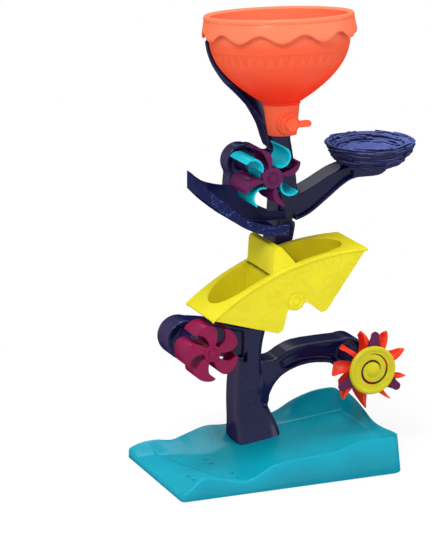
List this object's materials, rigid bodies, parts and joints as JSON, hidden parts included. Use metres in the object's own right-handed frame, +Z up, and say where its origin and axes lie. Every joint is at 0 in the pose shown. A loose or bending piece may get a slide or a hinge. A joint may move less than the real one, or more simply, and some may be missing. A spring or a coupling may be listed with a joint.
{
  "type": "sand wheel toy",
  "caption": "Toy tree tower in a wavy tray: a hopper with a tap feeds a paddle wheel, leaf slide, tipping tray, small wheel and sun wheel, with a twig nest on a branch.",
  "frame": {"origin": "on the ground under the middle of the tower's outer box", "axes": "+Z up, front towards -Y, the tray's low lip towards -X"},
  "size_m": [0.402, 0.21, 0.641],
  "materials": {
    "tray_teal": "glossy moulded teal plastic",
    "bark_navy": "glossy moulded dark blue plastic",
    "hopper_coral": "satin moulded coral plastic",
    "wheel_plum": "satin moulded dark purple plastic",
    "wheel_aqua": "satin moulded aqua plastic",
    "wheel_magenta": "satin moulded magenta plastic",
    "tip_lime": "satin moulded lime yellow plastic",
    "sun_flame": "satin moulded red plastic",
    "nest_indigo": "moulded blue plastic with a twig texture",
    "pin_steel": "plain steel"
  },
  "bodies": {
    "tower": {"base_tray": "tray_teal", "foot_screws": "pin_steel", "trunk_lower": "bark_navy", "trunk_upper": "bark_navy", "joint_screws": "pin_steel", "left_branch": "bark_navy", "right_branch": "bark_navy", "wheel_branch": "bark_navy", "nest_branch": "bark_navy", "nest": "nest_indigo", "leaf_slide": "bark_navy", "hopper_bowl": "hopper_coral", "hopper_spout": "hopper_coral", "upper_wheel_axle": "pin_steel", "small_wheel_axle": "pin_steel", "sun_axle": "pin_steel", "tipping_axle": "pin_steel"},
    "tap": {"tap_barrel": "hopper_coral", "tap_clip": "hopper_coral"},
    "upper_wheel": {"upper_wheel_blades": "wheel_plum", "upper_wheel_buckets": "wheel_aqua", "upper_wheel_cap": "wheel_plum"},
    "lower_wheel": {"small_wheel": "wheel_magenta", "small_wheel_cap": "wheel_magenta"},
    "sun_wheel": {"sun_disc": "tip_lime", "sun_petals": "wheel_plum", "sun_paddles": "sun_flame"},
    "see_saw": {"tipping_tray": "tip_lime", "tipping_cap": "tip_lime"}
  },
  "joints": [
    {"name": "tap_turn", "type": "hinge", "parent": "tower", "child": "tap", "pos_m": [-0.018, -0.01081, 0.48594], "axis": [0, 0.9962, -0.0872], "range_deg": [0, 90]},
    {"name": "upper_wheel_spin", "type": "hinge", "parent": "tower", "child": "upper_wheel", "pos_m": [-0.05, 0, 0.421], "axis": [0, 1, 0], "continuous": true},
    {"name": "small_wheel_spin", "type": "hinge", "parent": "tower", "child": "lower_wheel", "pos_m": [-0.132, 0, 0.183], "axis": [0, 1, 0], "continuous": true},
    {"name": "sun_wheel_spin", "type": "hinge", "parent": "tower", "child": "sun_wheel", "pos_m": [0.108, 0, 0.131], "axis": [0, 1, 0], "continuous": true},
    {"name": "tray_tip", "type": "hinge", "parent": "tower", "child": "see_saw", "pos_m": [-0.014, 0, 0.246], "axis": [0, 1, 0], "range_deg": [0, 38]}
  ]
}
